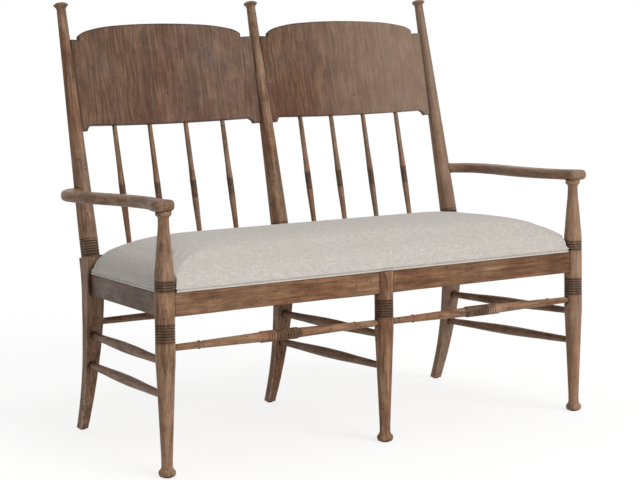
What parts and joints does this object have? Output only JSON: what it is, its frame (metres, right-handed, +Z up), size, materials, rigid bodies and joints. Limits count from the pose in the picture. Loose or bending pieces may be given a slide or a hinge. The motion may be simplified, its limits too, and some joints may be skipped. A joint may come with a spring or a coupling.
{
  "type": "deacons bench",
  "caption": "Two-bay armed bench with turned front legs, sabre back legs, raked spindle back under bent panels and an upholstered seat.",
  "frame": {"origin": "on the floor, at the middle of the bench's footprint box", "axes": "+X along the bench to its right end as seen from the front, +Y from the front legs to the back, +Z up"},
  "size_m": [1.2508, 0.6451, 1.0406],
  "materials": {
    "turned_wood": "satin brown stain with dark glaze in the grooves",
    "panel_wood": "satin brown stain, upright grain",
    "arm_wood": "satin brown stain, worn at the front corners",
    "rail_wood": "satin brown stain, grain along the rail",
    "inner_wood": "plain unfinished wood",
    "deck_plywood": "plain plywood",
    "seat_linen": "woven off-white linen",
    "welt_linen": "woven off-white linen over cord",
    "screw_steel": "plain zinc-plated steel",
    "glide_plastic": "dark matt nylon"
  },
  "bodies": {
    "root": {"arm_left": "arm_wood", "arm_right": "arm_wood", "back_glides": "glide_plastic", "back_panel_left": "panel_wood", "back_panel_right": "panel_wood", "back_post_centre": "turned_wood", "back_post_left": "turned_wood", "back_post_right": "turned_wood", "back_rail_left": "rail_wood", "back_rail_right": "rail_wood", "back_stretcher_left": "turned_wood", "back_stretcher_right": "turned_wood", "corner_blocks": "inner_wood", "deck_screws": "screw_steel", "front_glides": "glide_plastic", "front_leg_centre": "turned_wood", "front_leg_left": "turned_wood", "front_leg_right": "turned_wood", "front_rail_left": "rail_wood", "front_rail_right": "rail_wood", "front_stretcher_left": "turned_wood", "front_stretcher_right": "turned_wood", "middle_rail": "inner_wood", "seat_deck": "deck_plywood", "seat_pad": "seat_linen", "seat_welt": "welt_linen", "side_rail_left": "rail_wood", "side_rail_right": "rail_wood", "side_stretcher_lower_centre": "turned_wood", "side_stretcher_lower_left": "turned_wood", "side_stretcher_lower_right": "turned_wood", "side_stretcher_upper_centre": "turned_wood", "side_stretcher_upper_left": "turned_wood", "side_stretcher_upper_right": "turned_wood", "spindle_1": "turned_wood", "spindle_2": "turned_wood", "spindle_3": "turned_wood", "spindle_4": "turned_wood", "spindle_5": "turned_wood", "spindle_6": "turned_wood", "spindle_7": "turned_wood", "spindle_8": "turned_wood"}
  },
  "joints": []
}
